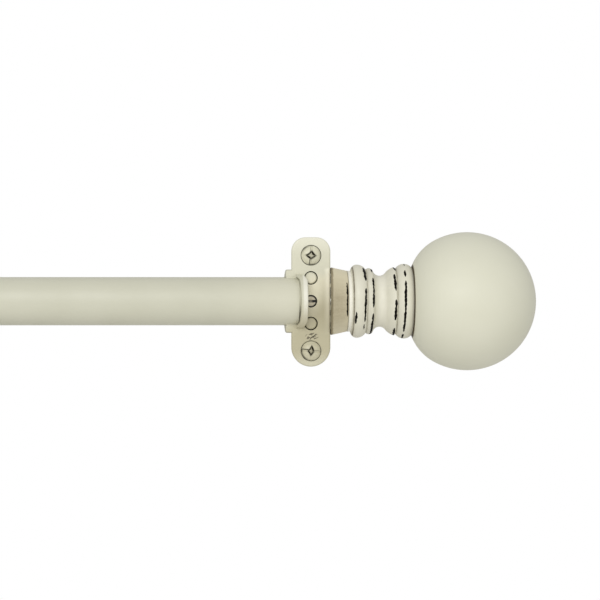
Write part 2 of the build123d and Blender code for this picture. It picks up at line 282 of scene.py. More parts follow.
# ramps named Up run in mm above the rod's axis, Out from the corner and Front in front of the axis
castFinish = {
    "light": "#d2d0bc", "dark": "#cac8b2", "mottle": 8.0, "grain": 0.55, "peel": 0.2, "roughness": 0.46,
    # painted light: the upper tip is paler
    "tip": "#dbd9c6", "tipUp": (17.0, 25.0),
    # painted light and shade on the hood: paler in front, darker towards the rod and below
    "hood": "#dddbcc", "hoodFront": (3.4, 4.9),
    "hoodInner": "#c5c3ae", "innerOut": (-3.2, -3.7),
    "hoodLow": "#bdb79d", "lowUp": (1.0, -9.0),
    # painted light beside the hood, where its shadow falls
    "beside": "#ded9c0", "besideUp": (12.0, 8.0), "besideOut": (-2.0, 0.0),     # above and below alike
    # brown glaze and painted shade on the lower half of the face
    "glazeAndShade": "#afa88a", "glazeShadeUp": (4.6, -7.8), "glazeShadeEaseUp": (-19.0, -27.0, 0.9, 0.3),
    "glazeShadeSlant": (-0.6, -0.7),         # mm per mm outwards, and what is added past the corner
    "patchSize": 6.0, "patchDetail": 3.0, "patchReach": 5.0,        # mm, and mm that the edge of the glaze and painted shade wanders
    # painted light on the face's edge beside the collar, where the collar shades it
    "edge": "#fffbe6", "edgeOut": (4.6, 7.0), "edgeUp": (13.6, 12.2), "edgeTone": (-13.0, 9.0, 0.1, 0.62),
    "scuff": "#3d3522", "scuffAt": (0.4, -13.9), "scuffSize": (2.9, 1.7), "scuffTilt": 35.0,    # mm, degrees
    "scuffFront": 2.0, "scuffFade": (1.0, 0.7, 0.0, 0.95),
    "scratchesPerMm": (0.45, 1.5), "scratchDetail": 1.0, "scratchCut": (0.48, 0.55),
    # painted shade in the gaps round the pins, the screw heads and the rod
    "paintedShade": "#2d2619", "gapReach": 1.3, "gapSamples": 8, "gapCut": (0.55, 0.15),               # mm
    "paintedShadeOut": (-4.5, -3.0, 0.1, 1.0), "ringSize": 2.5, "ringDetail": 1.0, "ringCut": (0.4, 0.55, 0.25, 1.0),
}


def castEnamel(s):
    # zinc casting in ivory enamel, toned with a thin brown glaze and painted shade that stays low and in the
    # corners; painted light on its paler parts
    mat, tree, shader, at, coat = coatedMaterial("antiquedEnamelCastingWithPaintedLight", s, IOR=1.5)
    point, out, front, up = at["point"], at["out"], at["front"], at["up"]
    # painted light: paler at the upper tip
    atTip = addNode(tree, "ShaderNodeMapRange", smooth, {"Value": up, **dict(zip(ramp, s["tipUp"]))})
    coat = addNode(tree, "ShaderNodeMix", colorMix, {0: atTip, 6: coat, 7: s["tip"]}).outputs[2]
    # painted light and shade on the hood: paler in front, darker towards the rod and below
    onHood = addNode(tree, "ShaderNodeMapRange", smooth, {"Value": front, **dict(zip(ramp, s["hoodFront"]))})
    inner = addNode(tree, "ShaderNodeMapRange", smooth, {"Value": out, **dict(zip(ramp, s["innerOut"]))})
    hood = addNode(tree, "ShaderNodeMix", colorMix, {0: inner, 6: s["hood"], 7: s["hoodInner"]}).outputs[2]
    low = addNode(tree, "ShaderNodeMapRange", smooth, {"Value": up, **dict(zip(ramp, s["lowUp"]))})
    hood = addNode(tree, "ShaderNodeMix", colorMix, {0: low, 6: hood, 7: s["hoodLow"]}).outputs[2]
    coat = addNode(tree, "ShaderNodeMix", colorMix, {0: onHood, 6: coat, 7: hood}).outputs[2]
    # painted light: paler beside the hood, where the hood's shadow falls
    level = addNode(tree, "ShaderNodeMath", absolute, {0: up})
    besideUp = addNode(tree, "ShaderNodeMapRange", smooth, {"Value": level, **dict(zip(ramp, s["besideUp"]))})
    besideOut = addNode(tree, "ShaderNodeMapRange", smooth, {"Value": out, **dict(zip(ramp, s["besideOut"]))})
    beside = addNode(tree, "ShaderNodeMath", times, {0: besideUp, 1: besideOut})
    coat = addNode(tree, "ShaderNodeMix", colorMix, {0: beside, 6: coat, 7: s["beside"]}).outputs[2]
    # brown glaze and painted shade: lower half of the face and higher on its outer side, thinner again at the
    # bottom, patchy
    patch = addNode(tree, "ShaderNodeTexNoise", links={
        "Vector": point, "Scale": 1 / s["patchSize"], "Detail": s["patchDetail"]})
    slant = addNode(tree, "ShaderNodeMath", timesPlus, {0: out, 1: s["glazeShadeSlant"][0], 2: up})
    outer = addNode(tree, "ShaderNodeMath", larger, {0: out, 1: 0.0})
    slant = addNode(tree, "ShaderNodeMath", timesPlus, {0: outer, 1: s["glazeShadeSlant"][1], 2: slant})
    wander = addNode(tree, "ShaderNodeMath", timesPlus, {0: patch, 1: s["patchReach"], 2: slant})
    lower = addNode(tree, "ShaderNodeMapRange", smooth, {"Value": wander, **dict(zip(ramp, s["glazeShadeUp"]))})
    eased = addNode(tree, "ShaderNodeMapRange", smooth, {"Value": up, **dict(zip(ramp, s["glazeShadeEaseUp"]))})
    offHood = addNode(tree, "ShaderNodeMath", minus, {0: 1.0, 1: onHood})
    glazeAndShade = addNode(tree, "ShaderNodeMath", times, {0: lower, 1: eased})
    glazeAndShade = addNode(tree, "ShaderNodeMath", times, {0: glazeAndShade, 1: offHood})
    coat = addNode(tree, "ShaderNodeMix", colorMix, {0: glazeAndShade, 6: coat, 7: s["glazeAndShade"]}).outputs[2]
    # painted light: the face's edge beside the collar is lighter where the collar shades it
    edgeOut = addNode(tree, "ShaderNodeMapRange", smooth, {"Value": out, **dict(zip(ramp, s["edgeOut"]))})
    edgeUp = addNode(tree, "ShaderNodeMapRange", smooth, {"Value": level, **dict(zip(ramp, s["edgeUp"]))})
    edgeTone = addNode(tree, "ShaderNodeMapRange", smooth, {"Value": up, **dict(zip(ramp, s["edgeTone"]))})
    edge = addNode(tree, "ShaderNodeMath", times, {0: edgeOut, 1: edgeUp})
    edge = addNode(tree, "ShaderNodeMath", times, {0: edge, 1: edgeTone})
    coat = addNode(tree, "ShaderNodeMix", colorMix, {0: edge, 6: coat, 7: s["edge"]}).outputs[2]
    # scuff: short slanting scratches on one small patch of the right-hand face
    across = addNode(tree, "ShaderNodeMath", minus, {0: out, 1: s["scuffAt"][0]})
    above = addNode(tree, "ShaderNodeMath", minus, {0: up, 1: s["scuffAt"][1]})
    flat = addNode(tree, "ShaderNodeCombineXYZ", links={0: across, 1: above})
    turned = addNode(tree, "ShaderNodeVectorRotate", {"rotation_type": "Z_AXIS"}, {
        "Vector": flat, "Angle": -math.radians(s["scuffTilt"])})
    stretched = addNode(tree, "ShaderNodeVectorMath", times, {0: turned, 1: (*s["scratchesPerMm"], 1.0)})
    scratch = addNode(tree, "ShaderNodeTexNoise", links={
        "Vector": stretched, "Scale": 1.0, "Detail": s["scratchDetail"]})
    near = addNode(tree, "ShaderNodeVectorMath", {"operation": "DIVIDE"}, {
        0: flat, 1: (*s["scuffSize"], 1.0)})
    reach = addNode(tree, "ShaderNodeVectorMath", vectorLength, {0: near}).outputs["Value"]
    within = addNode(tree, "ShaderNodeMapRange", smooth, {"Value": reach, **dict(zip(ramp, s["scuffFade"]))})
    cut = addNode(tree, "ShaderNodeMapRange", smooth, {"Value": scratch, **dict(zip(ramp, s["scratchCut"]))})
    onFace = addNode(tree, "ShaderNodeMath", greater, {0: front, 1: s["scuffFront"]})
    along = addNode(tree, "ShaderNodeSeparateXYZ", links={0: point}).outputs["X"]
    onRight = addNode(tree, "ShaderNodeMath", greater, {0: along, 1: 0.0})
    scuff = addNode(tree, "ShaderNodeMath", times, {0: within, 1: cut})
    scuff = addNode(tree, "ShaderNodeMath", times, {0: scuff, 1: onFace})
    scuff = addNode(tree, "ShaderNodeMath", times, {0: scuff, 1: onRight})
    coat = addNode(tree, "ShaderNodeMix", colorMix, {0: scuff, 6: coat, 7: s["scuff"]}).outputs[2]
    # painted shade in the gaps round the pins, the screw heads and the rod, in uneven rings
    gaps = addNode(tree, "ShaderNodeAmbientOcclusion", {"samples": s["gapSamples"]}, {
        "Distance": s["gapReach"] * mm}).outputs["AO"]
    shadeMask = addNode(tree, "ShaderNodeMapRange", smooth, {"Value": gaps, **dict(zip(ramp, s["gapCut"]))})
    onPlate = addNode(tree, "ShaderNodeMapRange", smooth, {"Value": out, **dict(zip(ramp, s["paintedShadeOut"]))})
    rings = addNode(tree, "ShaderNodeTexNoise", links={
        "Vector": point, "Scale": 1 / s["ringSize"], "Detail": s["ringDetail"]})
    uneven = addNode(tree, "ShaderNodeMapRange", smooth, {"Value": rings, **dict(zip(ramp, s["ringCut"]))})
    shadeMask = addNode(tree, "ShaderNodeMath", times, {0: shadeMask, 1: onPlate})
    shadeMask = addNode(tree, "ShaderNodeMath", times, {0: shadeMask, 1: uneven})
    coat = addNode(tree, "ShaderNodeMix", colorMix, {0: shadeMask, 6: coat, 7: s["paintedShade"]}).outputs[2]
    tree.links.new(coat, shader.inputs["Base Color"])
    return mat


neckFinish = {
    "light": "#d9d6c6", "dark": "#d0cdb9", "mottle": 5.0, "grain": 0.7, "peel": 0.2, "roughness": 0.5,
    # the rubbed colour is rubbed paint at the rim and a painted highlight in the cove
    "rubbedAndLit": "#f0ede1", "glazeAndShade": "#4f4126", "bare": "#0a0806",
    "flakeSize": 0.6, "flakeDetail": 5.0,       # mm
    "glazeThin": (0.3, 0.7, 0.85, 1.0),         # the flakes thin the glaze and painted shade
    "ragged": 0.45, "bareCut": (0.63, 0.77),    # and make the edges of bare patches ragged
    "specular": (0.0, 1.0, 0.5, 0.05),          # on paint and on bare patches
}
# on the collar the glaze colour carries painted shade
collarFinish = {**neckFinish, "light": "#e0d8bb", "dark": "#dad1b3", "glazeAndShade": "#6a5b3a"}


def distressedPaint(name, s):
    # resin turning painted ivory, rubbed through to the black undercoat and lined with brown glaze and
    # painted shade, with a painted highlight
    mat, tree, shader, at, coat = coatedMaterial(name, s, IOR=1.5)
    flake = addNode(tree, "ShaderNodeTexNoise", links={
        "Vector": at["point"], "Scale": 1 / s["flakeSize"], "Detail": s["flakeDetail"]})
    # rubbed paint and painted highlight, from the rubbed field
    rubbedAndLitAt = addNode(tree, "ShaderNodeAttribute", {"attribute_name": "rubbedAndLit"}).outputs["Fac"]
    coat = addNode(tree, "ShaderNodeMix", colorMix, {0: rubbedAndLitAt, 6: coat, 7: s["rubbedAndLit"]}).outputs[2]
    # glaze field: brown glaze on the neck, painted shade on the collar
    glazeAndShadeAt = addNode(tree, "ShaderNodeAttribute", {"attribute_name": "glazeAndShade"}).outputs["Fac"]
    thin = addNode(tree, "ShaderNodeMapRange", links={"Value": flake, **dict(zip(ramp, s["glazeThin"]))})
    glazeAndShade = addNode(tree, "ShaderNodeMath", times, {0: glazeAndShadeAt, 1: thin})
    coat = addNode(tree, "ShaderNodeMix", colorMix, {0: glazeAndShade, 6: coat, 7: s["glazeAndShade"]}).outputs[2]
    wearAt = addNode(tree, "ShaderNodeAttribute", {"attribute_name": "wear"}).outputs["Fac"]
    ragged = addNode(tree, "ShaderNodeMath", timesPlus, {0: flake, 1: s["ragged"], 2: wearAt})
    bare = addNode(tree, "ShaderNodeMapRange", smooth, {"Value": ragged, **dict(zip(ramp, s["bareCut"]))})
    coat = addNode(tree, "ShaderNodeMix", colorMix, {0: bare, 6: coat, 7: s["bare"]}).outputs[2]
    specular = addNode(tree, "ShaderNodeMapRange", links={"Value": bare, **dict(zip(ramp, s["specular"]))})
    tree.links.new(coat, shader.inputs["Base Color"])
    tree.links.new(specular.outputs[0], shader.inputs["Specular IOR Level"])
    return mat


ballFinish = {
    "light": "#d6d5c3", "dark": "#d0cfbb", "mottle": 18.0, "grain": 0.8, "peel": 0.12, "roughness": 0.5,
    "glazeAndShade": "#4d4026", "lineWidth": 0.36,      # mm
}


def resinBall(s):
    # cast resin ball in matt ivory: smooth, faintly mottled, with a glaze line where it meets the neck
    mat, tree, shader, at, coat = coatedMaterial("mattIvoryResin", s, IOR=1.5)
    start = outwards("finial_ball_right")[0]
    line = addNode(tree, "ShaderNodeMapRange", smooth, {
        "Value": at["out"], "From Min": start + s["lineWidth"], "From Max": start + s["lineWidth"] / 3})
    coat = addNode(tree, "ShaderNodeMix", colorMix, {0: line, 6: coat, 7: s["glazeAndShade"]}).outputs[2]
    tree.links.new(coat, shader.inputs["Base Color"])
    return mat


clampFinish = {
    "light": "#d8d6c0", "dark": "#c0bca1", "mottle": 1.4, "grain": 0.45, "peel": 0.5, "roughness": 0.4,
    "lowShade": "#b4ad90", "lowShadeUp": (-12.0, -17.0, 0.0, 0.6),    # mm above the rod's axis: painted shade on the lower head
    "paintedShade": "#120d04", "specular": (0.0, 1.0, 0.5, 0.05),      # on paint and on the painted shade
}


def paintedScrew(s):
    # steel screw in thin ivory paint with painted shade: matt black in the drive, along the slot's edge and
    # on the rim, and darker on the lower head
    mat, tree, shader, at, coat = coatedMaterial("paintedSteelScrew", s, IOR=1.5)
    # painted shade: the lower head is darker
    lowShade = addNode(tree, "ShaderNodeMapRange", smooth, {"Value": at["up"], **dict(zip(ramp, s["lowShadeUp"]))})
    coat = addNode(tree, "ShaderNodeMix", colorMix, {0: lowShade, 6: coat, 7: s["lowShade"]}).outputs[2]
    # painted shade from the mesh: in the drive, along the slot's edge and round the rim
    shadeMask = addNode(tree, "ShaderNodeAttribute", {"attribute_name": "shadeMask"}).outputs["Fac"]
    coat = addNode(tree, "ShaderNodeMix", colorMix, {0: shadeMask, 6: coat, 7: s["paintedShade"]}).outputs[2]
    specular = addNode(tree, "ShaderNodeMapRange", links={"Value": shadeMask, **dict(zip(ramp, s["specular"]))})
    tree.links.new(coat, shader.inputs["Base Color"])
    tree.links.new(specular.outputs[0], shader.inputs["Specular IOR Level"])
    return mat


centreFinish = {
    "light": "#e4decb", "dark": "#b3a98e", "mottle": 1.2, "grain": 0.35, "peel": 0.4, "roughness": 0.4,
    "paintedShade": "#0d0a05", "ring": (1.65, 2.15),       # mm from the screw's middle
    "slotAcross": (0.6, 0.4), "slotAlong": (0.3, 1.0, 0.45, 1.0),
}


def tarnishedScrew(s):
    # small zinc screw gone dull, with black painted shade round its edge and in the ends of its slot
    mat, tree, shader, at, coat = coatedMaterial("tarnishedZincScrew", s, Metallic=0.2)
    face = addNode(tree, "ShaderNodeCombineXYZ", links={"X": at["out"], "Z": at["up"]})
    reach = addNode(tree, "ShaderNodeVectorMath", vectorLength, {0: face}).outputs["Value"]
    ring = addNode(tree, "ShaderNodeMapRange", smooth, {"Value": reach, **dict(zip(ramp, s["ring"]))})
    height = addNode(tree, "ShaderNodeMath", absolute, {0: at["up"]})
    across = addNode(tree, "ShaderNodeMapRange", smooth, {
        "Value": height, **dict(zip(ramp, s["slotAcross"]))})
    along = addNode(tree, "ShaderNodeMapRange", smooth, {"Value": reach, **dict(zip(ramp, s["slotAlong"]))})
    slot = addNode(tree, "ShaderNodeMath", times, {0: across, 1: along})
    # painted shade round the head's edge and in the slot's ends
    shadeMask = addNode(tree, "ShaderNodeMath", larger, {0: ring, 1: slot})
    coat = addNode(tree, "ShaderNodeMix", colorMix, {0: shadeMask, 6: coat, 7: s["paintedShade"]}).outputs[2]
    tree.links.new(coat, shader.inputs["Base Color"])
    return mat


# turned or cut steel with a thin zinc plate: grey, finely mottled
zincFinish = {
    "light": "#b9b7ae", "dark": "#a09e95", "mottle": 1.2, "grain": 0.25, "peel": 0.25, "roughness": 0.35,
}
# moulded nylon: waxy ivory, nearly matt
nylonFinish = {
    "light": "#d9d7ca", "dark": "#d1cfc0", "mottle": 4.0, "grain": 0.5, "peel": 0.15, "roughness": 0.55,
}

enamelTube = satinEnamelTube(tubeFinish)
enamelCasting = castEnamel(castFinish)
neckPaint = distressedPaint("distressedNeckPaint", neckFinish)
collarPaint = distressedPaint("glazedCollarPaintWithPaintedShade", collarFinish)
ballPaint = resinBall(ballFinish)
screwPaint = paintedScrew(clampFinish)
centrePaint = tarnishedScrew(centreFinish)
zincSteel = coatedMaterial("zincPlatedSteel", zincFinish, Metallic=1.0)[0]
nylon = coatedMaterial("mouldedNylon", nylonFinish, IOR=1.53)[0]
nodeFinish = {
    "corner_block": enamelCasting, "return_flange": enamelCasting, "locating_pins": enamelCasting,
    "clamp_screws": screwPaint, "centre_screw": centrePaint,
    "rod_set_screw": zincSteel, "return_set_screw": zincSteel, "finial_stud": zincSteel,
    "wall_plug": zincSteel, "rod_plug": nylon, "mouth_bush": nylon, "inner_glide": nylon,
    "return_tube": enamelTube, "outer_tube": enamelTube, "inner_tube": enamelTube, "end_sleeve": enamelTube,
    "finial_collar": collarPaint, "finial_neck": neckPaint, "finial_ball": ballPaint,
}
for name, obj in nodes.items():
    kind = name.removesuffix("_right").removesuffix("_left")
    obj.data.materials.clear()
    obj.data.materials.append(nodeFinish[kind])
print("materials done")


# turned pieces

def arcPoints(a, b, c, step):
    # points after a on the arc from a over b to c
    rows = [[2 * (p[0] - a[0]), 2 * (p[1] - a[1])] for p in (b, c)]
    sums = [p[0] ** 2 + p[1] ** 2 - a[0] ** 2 - a[1] ** 2 for p in (b, c)]
    centre = np.linalg.solve(rows, sums)
    start, over, end = (math.atan2(p[1] - centre[1], p[0] - centre[0]) for p in (a, b, c))
    turn = (end - start) % (2 * math.pi)
    if (over - start) % (2 * math.pi) > turn:
        turn -= 2 * math.pi
    radius = math.dist(a, centre)
    count = max(2, math.ceil(abs(turn) * radius / step))
    angles = [start + turn * i / count for i in range(1, count + 1)]
    return [(centre[0] + radius * math.cos(t), centre[1] + radius * math.sin(t)) for t in angles]


def profilePoints(runs, step):
    # a run of two numbers goes straight to (distance, radius), one of four goes there on an arc over a point
    points = [runs[0]]
    for run in runs[1:]:
        a = points[-1]
        if len(run) == 4:
            points += arcPoints(a, run[:2], run[2:], step)
        else:
            count = max(1, math.ceil(math.dist(a, run) / step))
            points += [(a[0] + (run[0] - a[0]) * i / count, a[1] + (run[1] - a[1]) * i / count)
                       for i in range(1, count + 1)]
    return points


def latheGrid(loop, segments):
    # a closed loop of (distance, radius) turned about the rod; angle 0 faces the front, a quarter turn is up
    loop = np.array(loop)
    turns = np.arange(segments) * 2 * np.pi / segments
    distance, angle = np.meshgrid(loop[:, 0], turns, indexing="ij")
    radius = np.repeat(loop[:, 1:], segments, axis=1)
    return distance, radius, angle


sharpAngle = 38     # degrees between two faces: more is a sharp edge


def gridMesh(name, grids, out, fields=None, closed=True):
    # quads over grids of points, each closed round; a grid that isn't closed along its rows gets two end caps
    count, rows, columns = grids.shape[:3]
    i, j = np.meshgrid(np.arange(rows if closed else rows - 1), np.arange(columns), indexing="ij")
    i2, j2 = (i + 1) % rows, (j + 1) % columns
    quads = np.stack([i * columns + j, i2 * columns + j, i2 * columns + j2, i * columns + j2], axis=-1)
    quads = quads.reshape(-1, 4)[:, ::out]
    faces = []
    for k in range(count):
        start = k * rows * columns
        faces += (quads + start).tolist()
        if not closed:
            ring = np.arange(columns)[::out] + start
            faces += [ring.tolist(), (ring[::-1] + (rows - 1) * columns).tolist()]
    mesh = bpy.data.meshes.new(name)
    mesh.from_pydata(grids.reshape(-1, 3).tolist(), [], faces)
    mesh.polygons.foreach_set("use_smooth", [True] * len(mesh.polygons))
    mesh.set_sharp_from_angle(angle=math.radians(sharpAngle))
    for field, values in (fields or {}).items():
        mesh.attributes.new(field, "FLOAT", "POINT").data.foreach_set("value", values.ravel())
    return mesh


def latheMesh(name, distance, radius, angle, corner, out, fields=None):
    x = corner + out * distance * mm
    y = axis.y - radius * np.cos(angle) * mm
    z = axis.z + radius * np.sin(angle) * mm
    return gridMesh(name, np.stack([x, y, z], axis=-1)[None], out, fields)


# waves round the piece, what their sum is divided by, and how a rubbed stroke follows them
wearSetup = {
    "waves": (3, 7, 12, 19, 31, 53), "calm": 2.6,
    "drift": 0.07,                      # mm that a stroke's middle wanders
    "runOut": 6.0,                      # degrees over which its ends get narrow
    "share": 0.88, "uneven": 0.24,      # of the stroke's width
    "soft": 0.6,                        # mm over which the field rises by 1
}


def wobble(angle, rng):
    # uneven but closed round the piece, mostly between -1 and 1
    waves = wearSetup["waves"]
    return sum(np.sin(k * angle + rng.uniform(0, 2 * np.pi)) for k in waves) / wearSetup["calm"]


def wornField(distance, angle, strokes, rng):
    # 0.5 on the edge of a rubbed patch, more inside it, less outside
    s = wearSetup
    field = np.zeros_like(distance)
    degrees = np.degrees(angle)
    for first, last, atFirst, atLast, width in strokes:
        span = last - first
        away = (degrees - (first + last) / 2 + 180) % 360 - 180
        t = 0.5 + away / span
        line = atFirst + (atLast - atFirst) * t + s["drift"] * wobble(angle, rng)
        taper = np.sqrt(np.clip(np.minimum(t, 1 - t) * abs(span) / s["runOut"], 0, 1))
        half = s["share"] * width / 2 * taper * (1 + s["uneven"] * wobble(angle, rng))
        inside = 0.5 + (half - abs(distance - line)) / s["soft"]
        field = np.maximum(field, np.where((t > 0) & (t < 1), inside, 0))
    return np.clip(field, 0, 1)


neckSetup = {
    "step": 0.2, "segments": 288, "hole": 2.6,          # mm
    # rim, large bead, small bead, cove, third bead and large bead, from the collar to the ball
    "runs": [
        (0, 11.9), (0.1, 12.0), (1.6, 12.0), (1.65, 12.15), (2.6, 14.0, 3.95, 14.45),
        (5.95, 13.95, 7.5, 12.45), (9.0, 13.05, 10.3, 11.9), (13.1, 10.1, 15.3, 11.2),
        (16.7, 12.55, 18.7, 13.5), (19.3, 12.85), (22.7, 14.75, 25.9, 13.0),
    ],
    # rubbed lines: degrees up from the front at each end, mm from the collar at each end, width
    "worn": [
        (-17, -40, 2.95, 2.7, 0.95),
        (74, 37, 6.3, 6.75, 1.15), (23, -37, 6.75, 6.3, 0.95), (-40, -54, 6.2, 6.15, 0.5),
        (94, 63, 9.6, 9.6, 0.8), (47, -12, 9.8, 9.8, 0.95), (-22, -86, 9.65, 9.2, 1.0),
        (94, 65, 18.7, 18.7, 1.0), (54, 17, 18.1, 18.6, 1.0), (3, -35, 18.65, 18.35, 1.05),
        (-52, -93, 18.4, 18.2, 1.0),
        (82, 72, 22.5, 22.5, 0.6), (57, 40, 22.4, 22.4, 0.85), (34, -56, 22.45, 21.9, 0.95),
        (-62, -86, 21.8, 21.7, 0.95),
    ],
    "chipDepth": 0.12, "chipFrom": 0.4, "chipFull": 0.65,                   # mm, and values of the wear
    "backLines": [(6.8, 0.7), (9.8, 0.65), (18.7, 0.75), (22.5, 0.7)],      # mm from the collar, width
    # strokes on the back: degrees up from the front, mm to each side, shares of the width
    "back": {"from": 100.0, "lastStart": 245.0, "end": 262.0, "length": (18, 60), "gap": (8, 26),
             "shift": 0.15, "spread": (0.8, 1.2)},
    # brown glaze: mm from the collar, half width, strength
    "glazed": [
        (0, 0.15, 0.7), (2.05, 0.22, 0.95), (7.4, 0.3, 0.3), (8.5, 0.8, 0.08), (10.3, 0.25, 0.16),
        (19.3, 0.3, 0.32), (25.9, 0.2, 0.6),
    ],
    "glazeUneven": 0.2,
    # rubbed almost white at the rim, a painted highlight in the cove: mm from the collar, half width,
    # strength
    "rubbedAndLit": [(0.85, 0.65, 0.75), (13.7, 1.8, 0.22)],
}


def backWear(lines, s, rng):
    # the side that faces the wall is rubbed along the same beads, in strokes of uneven length
    strokes = []
    for at, width in lines:
        angle = s["from"]
        while angle < s["lastStart"]:
            length = rng.uniform(*s["length"])
            shift = rng.uniform(-s["shift"], s["shift"])
            wide = width * rng.uniform(*s["spread"])
            strokes.append((angle, min(angle + length, s["end"]), at + shift, at - shift, wide))
            angle += length + rng.uniform(*s["gap"])
    return strokes


def makeNeck(side, s):
    end = ends[side]
    rng = np.random.default_rng(11)
    start = outwards("finial_neck_right")[0]
    length = s["runs"][-1][-2]
    loop = profilePoints(s["runs"], s["step"]) + [(length, s["hole"]), (0, s["hole"])]
    distance, radius, angle = latheGrid(loop, s["segments"])
    pattern = angle + math.radians(end["turn"])
    strokes = s["worn"] + backWear(s["backLines"], s["back"], rng)
    wear = wornField(distance, pattern, strokes, rng) * (radius > s["hole"])
    depth = s["chipDepth"] * np.clip((wear - s["chipFrom"]) / (s["chipFull"] - s["chipFrom"]), 0, 1)
    glazeAndShade = np.zeros_like(distance)
    for at, half, strength in s["glazed"]:
        uneven = 1 + s["glazeUneven"] * wobble(pattern, rng)
        glazeAndShade = np.maximum(glazeAndShade, strength * uneven * np.exp(-((distance - at) / half) ** 2))
    rubbedAndLit = np.zeros_like(distance)
    for at, half, strength in s["rubbedAndLit"]:
        rubbedAndLit = np.maximum(rubbedAndLit, strength * np.exp(-((distance - at) / half) ** 4))
    fields = {"wear": wear, "glazeAndShade": np.clip(glazeAndShade, 0, 1), "rubbedAndLit": rubbedAndLit}
    name = "finialNeck_" + side
    mesh = latheMesh(name, start + distance, radius - depth, angle, end["corner"], end["out"], fields)
    addPiece(name, mesh, neckPaint, end["body"], "ivory_resin", "finial_neck_" + side)


collarSetup = {
    "step": 0.3, "segments": 256, "hole": 2.6,          # mm
    "runs": [(0, 13.0), (0.08, 13.27, 0.3, 13.33), (6.1, 12.05), (6.3, 11.85)],
    # painted shade, as dark glaze, along the joint with the block: mm at its narrowest, more at the top and
    # bottom, uneven, soft
    "edgeLeast": 0.1, "edgeMore": 0.8, "edgeUneven": 0.08, "edgeSoft": 0.25, "jointShade": 0.85,
    # painted shade, as a brown tone over the rest: degrees up from the front, and how much it fades towards
    # the neck
    "frontShade": 0.64, "frontShadeAt": -8, "frontShadeReach": 60, "frontShadeFade": 0.3, "frontShadeUneven": 0.06,
    "endFaceShade": 0.8, "blockFace": 0.02, "neckFace": 0.05,      # the end faces: painted shade, and mm from each end
    "worn": [(38, -30, 5.75, 5.75, 0.7)],                       # rubbed line where the neck meets it
}


def makeCollar(side, s):
    end = ends[side]
    rng = np.random.default_rng(5)
    start, finish = outwards("finial_collar_right")
    length = finish - start
    loop = profilePoints(s["runs"], s["step"]) + [(length, s["hole"]), (0, s["hole"])]
    distance, radius, angle = latheGrid(loop, s["segments"])
    # painted shade: a dark band along the joint with the block, brown over the front, dark on the end faces
    band = s["edgeLeast"] + s["edgeMore"] * (1 - abs(np.cos(angle))) + s["edgeUneven"] * wobble(angle, rng)
    edge = np.clip((band - distance) / s["edgeSoft"] + 0.5, 0, 1)
    around = (np.degrees(angle) - s["frontShadeAt"] + 90) % 180 - 90
    fade = 1 - s["frontShadeFade"] * (distance / length) ** 3
    frontShade = s["frontShade"] * np.exp(-(around / s["frontShadeReach"]) ** 2) * fade
    frontShade *= 1 + s["frontShadeUneven"] * wobble(angle, rng)
    faces = (distance < s["blockFace"]) | (distance > length - s["neckFace"])
    glazeAndShade = np.where(faces, s["endFaceShade"], np.maximum(frontShade, s["jointShade"] * edge))
    pattern = angle + math.radians(end["turn"])
    wear = wornField(distance, pattern, s["worn"], rng) * (radius > s["hole"])
    fields = {"wear": wear, "glazeAndShade": np.clip(glazeAndShade, 0, 1)}
    name = "finialCollar_" + side
    mesh = latheMesh(name, start + distance, radius, angle, end["corner"], end["out"], fields)
    addPiece(name, mesh, collarPaint, end["body"], "ivory_resin", "finial_collar_" + side)


for side in ends:
    makeNeck(side, neckSetup)
    makeCollar(side, collarSetup)
print("finials turned")


tubeSetup = {
    "segments": 160, "step": 40.0, "lip": 0.25,     # mm, lip: rounding of the cut ends
    "bend": 0.3,                                    # of the lip: how far in its arc's middle lies
    "outer_tube": {"wall": 0.9, "body": "right_half"},
    "inner_tube": {"wall": 0.9, "body": "left_half"},
}


def makeTube(node, s):
    start, finish = outwards(node)
    radius = radiusOf(node)
    bore = radius - s[node]["wall"]
    lip = s["lip"]
    bend = s["bend"] * lip
    runs = [
        (start, bore + lip), (start, radius - lip), (start + bend, radius - bend, start + lip, radius),
        (finish - lip, radius), (finish - bend, radius - bend, finish, radius - lip),
        (finish, bore + lip), (finish - bend, bore + bend, finish - lip, bore),
        (start + lip, bore), (start + bend, bore + bend, start, bore + lip),
    ]
    loop = profilePoints(runs, s["step"])[:-1]
    grid = latheGrid(loop, s["segments"])
    mesh = latheMesh(node + "_turned", *grid, rightCorner, 1)
    addPiece(node + "_turned", mesh, enamelTube, s[node]["body"], "ivory_tube", node)


for node in ("outer_tube", "inner_tube"):
    makeTube(node, tubeSetup)
print("tubes drawn")


clampSetup = {
    "rings": 64, "segments": 180, "middle": 0.01,                               # mm
    "crown": 2.64, "side": 0.9, "underHead": 2.3, "shank": 1.95,                # crown: power of its curve
    "slotHalf": 0.4, "slotDepth": 0.4, "slotWall": 0.12, "slotFrom": 0.6,
    "driveDepth": 1.3, "driveWall": 0.5, "point": 0.9, "driveUneven": 0.06,     # point: under 1 is sharp
    "nib": 0.3, "nibReach": 0.4,                                                # raised middle of the drive
    # painted shade on the drive's wall, thinner along its four corners, and along one edge of the slot
    "wallAt": 0.78, "wallReach": 0.27, "wallShade": 1.25, "wallUneven": 0.35,
    "cornerLessShade": 0.5, "cornerReach": 0.2, "edgeReach": 0.2, "slotEdgeShade": (0.95, 0.3),
    # the drive's turn in degrees, its reach along and across the slot, and the painted shade round the rim:
    # where and how far round in degrees, and how dark
    "heads": [
        {"turn": 86.0, "along": 1.95, "across": 2.3, "rim": [(130, 32, 0.65), (275, 26, 0.85), (0, 34, 0.4)]},
        {"turn": -6.0, "along": 1.5, "across": 2.3, "rim": [(215, 45, 0.8), (180, 14, 0.85), (20, 30, 0.2)]},
    ],
    "rimFrom": 0.83, "rimFull": 0.96,       # shares of the head's radius
}


